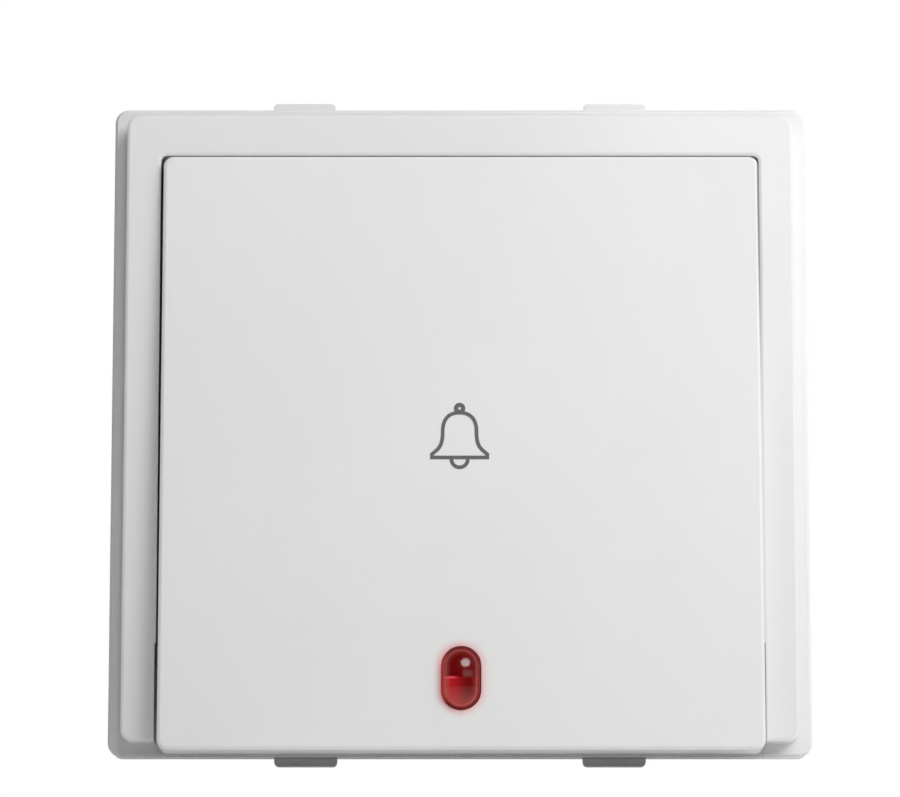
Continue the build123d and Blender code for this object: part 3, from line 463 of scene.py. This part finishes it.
def red_lens():
    """Red lens with the light and shade of its clear plastic painted on: dark upper half, lit and
    milky-looking lower half, bright step, painted glow at the rim.
    """
    s = Shader("red_lens")
    x, _, z = s.axes()
    middle = PLATE_TILT @ Vector((PLATE_SHIFT, PLATE_FRONT, LENS_Z))
    aside = s.math("SUBTRACT", x, middle.x)
    up = s.math("SUBTRACT", z, middle.z)
    upper = s.ranged(up, *LENS_HALVES)
    across = s.ranged(aside, *LENS_SIDES)
    clear = s.blend(across, *LENS_INNER_LIGHT)
    lit_half = s.blend(across, *LENS_LIT)
    lower = s.blend(s.ranged(up, *LENS_LIT_HEIGHTS), lit_half, clear)
    body = s.blend(upper, lower, LENS_UPPER)
    near_step = s.ranged(s.math("ABSOLUTE", up), *LENS_STEP_HEIGHTS, 1.0, 0.0)
    step = s.math("MULTIPLY", near_step, s.ranged(aside, *LENS_STEP_SIDES, LENS_STEP_AMOUNT, 0.0))
    edge = lens_distance(s)
    near_edge = s.ranged(edge, *LENS_BAND_DEPTHS)
    band = s.math("MULTIPLY", near_edge, s.ranged(aside, *LENS_BAND_SIDES, *LENS_BAND_AMOUNTS))
    body = s.blend(band, body, s.blend(upper, *LENS_BAND))
    body = s.blend(step, body, LENS_STEP)
    from_line = s.math("ABSOLUTE", s.math("ADD", edge, LENS_LINE_INSET))
    line = s.ranged(from_line, *LENS_LINE_WIDTH, LENS_LINE_AMOUNT, 0.0)
    body = s.blend(line, body, s.blend(upper, *LENS_LINE))
    rim = s.ranged(edge, *LENS_RIM_DEPTHS)
    beside = s.ranged(aside, *LENS_RIM_SIDES)
    rim_colour = s.blend(beside, *LENS_RIM)
    smooth = s.ranged(s.noise(LENS_CLOUD_SCALE), *NOISE_RANGE, *LENS_ROUGHNESS)
    return s.finish(
        Base_Color=s.blend(rim, body, rim_colour),
        Roughness=s.math("ADD", smooth, s.math("MULTIPLY", rim, LENS_RIM_ROUGHNESS)),
        Specular_IOR_Level=0.35,
        Emission_Color=s.blend(beside, *LENS_RIM_GLOW),
        Emission_Strength=rim,
    )


def lamp_glass():
    """Thin clear glass with a faint grey coat inside."""
    s = Shader("lamp_glass")
    coat = s.ranged(s.noise(GLASS_COAT_SCALE), 0.4, 0.7)
    return s.finish(
        Base_Color=s.blend(coat, *GLASS_TONES),
        Roughness=s.ranged(coat, 0.0, 1.0, *GLASS_ROUGHNESS),
        Transmission_Weight=0.85,
        IOR=1.5,
    )


def resistor_lacquer():
    """Tan lacquer with three painted bands round the body, and bare wire outside it."""
    s = Shader("resistor_lacquer")
    x = s.axes()[0]
    colour = s.blend(s.ranged(s.noise(LACQUER_SCALE), *NOISE_RANGE), *LACQUER_TONES)
    for middle, paint in RESISTOR_BANDS:
        away = s.math("ABSOLUTE", s.math("SUBTRACT", x, middle))
        colour = s.blend(s.ranged(away, *BAND_HALF_WIDTH, 1.0, 0.0), colour, paint)
    bare = s.ranged(s.math("ABSOLUTE", x), RESISTOR_HALF, RESISTOR_HALF + 0.02 * MM)
    return s.finish(
        Base_Color=s.blend(bare, colour, BARE_WIRE),
        Metallic=bare,
        Roughness=0.4,
    )


def sign_ink():
    """Grey print with the slightly uneven cover of pad printing."""
    s = Shader("sign_ink")
    cover = s.ranged(s.noise(INK_SCALE), 0.35, 0.7)
    return s.finish(
        Base_Color=s.blend(cover, *INK_TONES),
        Roughness=s.ranged(cover, 0.0, 1.0, *INK_ROUGHNESS),
    )


slot_materials = {
    "white_gloss": frame_white(),
    "white_satin": plate_white(),
    "red_lens": red_lens(),
    "grey_plastic": moulded("grey_plastic", (0.36, 0.36, 0.35), 0.5, 3000.0, 0.004 * MM),
    "housing_white": moulded("housing_white", (0.68, 0.68, 0.64), 0.45, 2600.0, 0.006 * MM),
    "natural_plastic": moulded("natural_plastic", (0.62, 0.58, 0.46), 0.4, 2600.0, 0.003 * MM),
    "spring_steel": metal("spring_steel", (0.5, 0.5, 0.52), 0.3, ROUND),
    "brass": metal("brass", (0.72, 0.5, 0.2), 0.32, ALONG_X),
    "silver": metal("silver", (0.86, 0.85, 0.82), 0.25, ROUND),
    # The plated steel screws get painted shade in their slots
    "plated_steel": metal("plated_steel", (0.62, 0.61, 0.57), 0.34, ALONG_Y, slot_shade),
    "lamp_glass": lamp_glass(),
    "tinned_wire": metal("tinned_wire", (0.68, 0.68, 0.68), 0.35, ALONG_X),
    "resistor_lacquer": resistor_lacquer(),
}


def dress(piece, material):
    """Gives a piece one material."""
    piece.data.materials.clear()
    piece.data.materials.append(material)


def add_piece(name, mesh, body, material):
    """Puts a new mesh in the scene, on a body and with a finish."""
    piece = bpy.data.objects.new(name, mesh)
    bpy.context.collection.objects.link(piece)
    dress(piece, material)
    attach(piece, body)
    return piece


for subpart in frame["record"]["subparts"]:
    dress(frame["nodes"][subpart["node"]], slot_materials[subpart["material_slot"]])


def arc(centre, radius, start, end, steps):
    """Points of a circular arc in the plane of the sign."""
    angles = [start + (end - start) * i / steps for i in range(steps + 1)]
    return [Vector((centre[0] + radius * cos(a), centre[1] + radius * sin(a))) for a in angles]


def bezier(p0, p1, p2, p3, steps):
    """Points of a cubic curve in the plane of the sign."""
    points = []
    for i in range(steps + 1):
        t = i / steps
        u = 1 - t
        points.append(p0 * u**3 + p1 * (3 * u * u * t) + p2 * (3 * u * t * t) + p3 * t**3)
    return points


def ribbon(mesh, points, width, closed=False, level=0.0):
    """A flat stroke of constant width along a line of points, at a level over the sign's plane."""
    count = len(points)
    pairs = []
    for i, point in enumerate(points):
        before = points[(i - 1) % count] if closed or i > 0 else point
        after = points[(i + 1) % count] if closed or i < count - 1 else point
        along_in = (point - before).normalized() if before != point else (after - point).normalized()
        along_out = (after - point).normalized() if after != point else along_in
        along = (along_in + along_out).normalized()
        across = Vector((-along.y, along.x))
        reach = width / 2 / max(along.dot(along_out), SHARPEST_MITRE)
        pairs.append([mesh.verts.new((*(point + across * side * reach), level)) for side in (1, -1)])
    for i in range(count if closed else count - 1):
        a, b = pairs[i], pairs[(i + 1) % count]
        mesh.faces.new((a[0], a[1], b[1], b[0]))


def bell_sign():
    """Outline bell: body with flared sides, base line, ring on top and half a clapper below."""
    half = SIGN_STROKE / 2
    rim_x = BELL_HALF_WIDTH - half
    waist_x = BELL_WAIST_HALF - half
    top = BELL_TOP_HEIGHT - half
    corner = Vector((rim_x, half))
    rim = Vector((rim_x, BELL_RIM_HEIGHT))
    waist = Vector((waist_x, BELL_WAIST_HEIGHT))
    crown = Vector((0.0, top))
    rise = Vector((0.0, BELL_WAIST_HEIGHT - BELL_RIM_HEIGHT))
    flare = bezier(rim, rim + RIM_PULL, waist - rise * WAIST_PULL, waist, CURVE_STEPS)
    dome = bezier(waist, waist + SHOULDER_PULL, crown + CROWN_PULL, crown, CURVE_STEPS)
    right = [corner] + flare + dome[1:]
    left = [Vector((-p.x, p.y)) for p in reversed(right[:-1])]
    mesh = bmesh.new()
    ribbon(mesh, right + left, SIGN_STROKE, closed=True)
    ring_width = RING_RADIUS - RING_HOLE
    ring = arc((0.0, RING_HEIGHT), RING_HOLE + ring_width / 2, 0.0, 2 * pi, RING_STEPS)[:-1]
    ribbon(mesh, ring, ring_width, closed=True, level=RING_LIFT)
    clapper = arc((0.0, 0.0), CLAPPER_RADIUS - half, pi, 2 * pi, CLAPPER_STEPS)
    ribbon(mesh, clapper, SIGN_STROKE)
    upright = Matrix.Rotation(pi / 2, 4, "X")
    on_plate = Matrix.Translation((SIGN_X, PLATE_FRONT - SIGN_LIFT, SIGN_BASE_Z))
    mesh.transform(PLATE_TILT @ on_plate @ upright)
    data = bpy.data.meshes.new("bell_sign")
    mesh.to_mesh(data)
    mesh.free()
    return data


add_piece("bell_sign", bell_sign(), "push", sign_ink())


def coil_mesh(name, span, coil_radius, wire_radius):
    """An even round-wire coil along Y, with closed ends, that fills its span."""
    curve = bpy.data.curves.new(name, "CURVE")
    curve.dimensions = "3D"
    curve.bevel_depth = wire_radius
    curve.bevel_resolution = WIRE_ROUNDNESS
    curve.use_fill_caps = True
    steps = int(SPRING_TURNS * STEPS_PER_TURN)
    line = curve.splines.new("POLY")
    line.points.add(steps)
    low, high = span[0] + wire_radius, span[1] - wire_radius
    for i, point in enumerate(line.points):
        share = i / steps
        angle = 2 * pi * SPRING_TURNS * share
        x = SPRING_X + coil_radius * cos(angle)
        z = SPRING_Z + coil_radius * sin(angle)
        point.co = (x, low + (high - low) * share, z, 1.0)
    holder = bpy.data.objects.new(name, curve)
    mesh = bpy.data.meshes.new_from_object(holder)
    bpy.data.objects.remove(holder)
    bpy.data.curves.remove(curve)
    for polygon in mesh.polygons:
        polygon.use_smooth = True
    return mesh


springs = (
    ("return_coil", "return_spring", RETURN_SPAN, RETURN_COIL, RETURN_WIRE, RETURN_KEPT),
    ("lever_coil", "lever_spring", LEVER_SPAN, LEVER_COIL, LEVER_WIRE, LEVER_KEPT),
)
for name, node, span, coil_radius, wire_radius, kept in springs:
    mesh = coil_mesh(name, span, coil_radius, wire_radius)
    spring = add_piece(name, mesh, "base", slot_materials["spring_steel"])
    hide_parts(node)
    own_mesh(spring)


def floor_material():
    """Pale matte floor that lets a part of the light from below through, and is clear from below."""
    s = Shader("floor")
    fine = s.noise(FLOOR_SCALE)
    s.finish(Base_Color=s.blend(fine, *FLOOR_COLOURS), Roughness=0.8)
    geometry = s.tree.nodes.new("ShaderNodeNewGeometry")
    clear = s.tree.nodes.new("ShaderNodeBsdfTransparent")
    mix = s.tree.nodes.new("ShaderNodeMixShader")
    output = s.tree.nodes["Material Output"]
    s.link(s.math("MAXIMUM", geometry.outputs["Backfacing"], FLOOR_CLEAR), mix.inputs[0])
    s.link(s.surface.outputs[0], mix.inputs[1])
    s.link(clear.outputs[0], mix.inputs[2])
    s.link(mix.outputs[0], output.inputs["Surface"])
    return s.material


def add_floor():
    """A wide floor that takes the object's shadow."""
    half = FLOOR_SIZE / 2
    mesh = bpy.data.meshes.new("floor")
    corners = ((-half, -half), (half, -half), (half, half), (-half, half))
    mesh.from_pydata([(x, y, FLOOR_Z) for x, y in corners], [], [(0, 1, 2, 3)])
    floor = bpy.data.objects.new("floor", mesh)
    bpy.context.collection.objects.link(floor)
    dress(floor, floor_material())


def add_light(name, place, size, power, mirrored):
    """A soft box that faces the object, and shows in polished surfaces if mirrored."""
    data = bpy.data.lights.new(name, "AREA")
    data.shape = "DISK"
    data.size = size
    data.energy = power
    lamp = bpy.data.objects.new(name, data)
    bpy.context.collection.objects.link(lamp)
    lamp.visible_camera = False
    lamp.visible_glossy = mirrored
    lamp.location = place
    lamp.rotation_euler = (-place).to_track_quat("-Z", "Y").to_euler()


def add_world():
    """Soft fill from above, below and behind, a window in the gloss, and a white background."""
    world = bpy.data.worlds.new("studio")
    world.use_nodes = True
    bpy.context.scene.world = world
    tree = world.node_tree

    def node(kind, *values, operation=None):
        """A new node with its first inputs set or joined; gives its outputs."""
        new = tree.nodes.new(kind)
        if operation:
            new.operation = operation
        for value, socket in zip(values, new.inputs):
            if isinstance(value, bpy.types.NodeSocket):
                tree.links.new(value, socket)
            else:
                socket.default_value = value
        return new.outputs

    heading = node("ShaderNodeTexCoord")["Generated"]
    fill = 0.0
    for direction, sharpness, strength in FILL_LOBES:
        towards = Vector(direction).normalized()
        facing = node("ShaderNodeVectorMath", heading, towards, operation="DOT_PRODUCT")["Value"]
        ahead = node("ShaderNodeMath", facing, 0.0, operation="MAXIMUM")[0]
        lobe = node("ShaderNodeMath", ahead, sharpness, operation="POWER")[0]
        fill = node("ShaderNodeMath", lobe, strength, fill, operation="MULTIPLY_ADD")[0]
    place = node("ShaderNodeSeparateXYZ", heading)
    room = node("ShaderNodeMapRange", place["Y"], *BACKDROP_RANGE, ROOM_STRENGTH, BACKDROP_STRENGTH)[0]
    front = node("ShaderNodeMath", place["Y"], -1.0, operation="MULTIPLY")[0]
    forward = node("ShaderNodeMath", front, WINDOW_NEAREST, operation="MAXIMUM")[0]
    aside = node("ShaderNodeMath", place["X"], forward, operation="DIVIDE")[0]
    up = node("ShaderNodeMath", place["Z"], forward, operation="DIVIDE")[0]
    window = WINDOW_STRENGTH
    sides = (
        (aside, WINDOW_LEFT, 0.0),
        (aside, WINDOW_RIGHT, 1.0),
        (up, WINDOW_BOTTOM, 0.0),
        (up, WINDOW_TOP, 1.0),
    )
    for value, (start, end), outside in sides:
        side = node("ShaderNodeMapRange", value, start, end, outside, 1.0 - outside)[0]
        window = node("ShaderNodeMath", side, window, operation="MULTIPLY")[0]
    mirrored = node("ShaderNodeMath", room, window, operation="ADD")[0]
    path = node("ShaderNodeLightPath")
    glossy, transmitted = path["Is Glossy Ray"], path["Is Transmission Ray"]
    polished = node("ShaderNodeMath", glossy, transmitted, operation="MAXIMUM")[0]
    change = node("ShaderNodeMath", mirrored, fill, operation="SUBTRACT")[0]
    lit = node("ShaderNodeMath", polished, change, fill, operation="MULTIPLY_ADD")[0]
    to_white = node("ShaderNodeMath", 1.0, lit, operation="SUBTRACT")[0]
    strength = node("ShaderNodeMath", path["Is Camera Ray"], to_white, lit, operation="MULTIPLY_ADD")[0]
    background = tree.nodes["Background"]
    background.inputs["Color"].default_value = (1.0, 1.0, 1.0, 1.0)
    tree.links.new(strength, background.inputs["Strength"])


def add_camera():
    """Camera in front of the object and a little below it, looking up."""
    data = bpy.data.cameras.new("camera")
    data.sensor_width = CAMERA_SENSOR
    data.lens = CAMERA_LENS
    data.clip_start = CAMERA_NEAREST
    camera = bpy.data.objects.new("camera", data)
    bpy.context.collection.objects.link(camera)
    back = Vector((0.0, -cos(CAMERA_PITCH), -sin(CAMERA_PITCH)))
    camera.location = CAMERA_AIM + back * CAMERA_DISTANCE
    camera.rotation_euler = (pi / 2 + CAMERA_PITCH, 0.0, 0.0)
    bpy.context.scene.camera = camera


add_floor()
add_light("key", KEY_PLACE, KEY_SIZE, KEY_POWER, mirrored=False)
add_light("front", FRONT_PLACE, FRONT_SIZE, FRONT_POWER, mirrored=True)
add_world()
add_camera()
bpy.context.scene.view_settings.view_transform = "Standard"
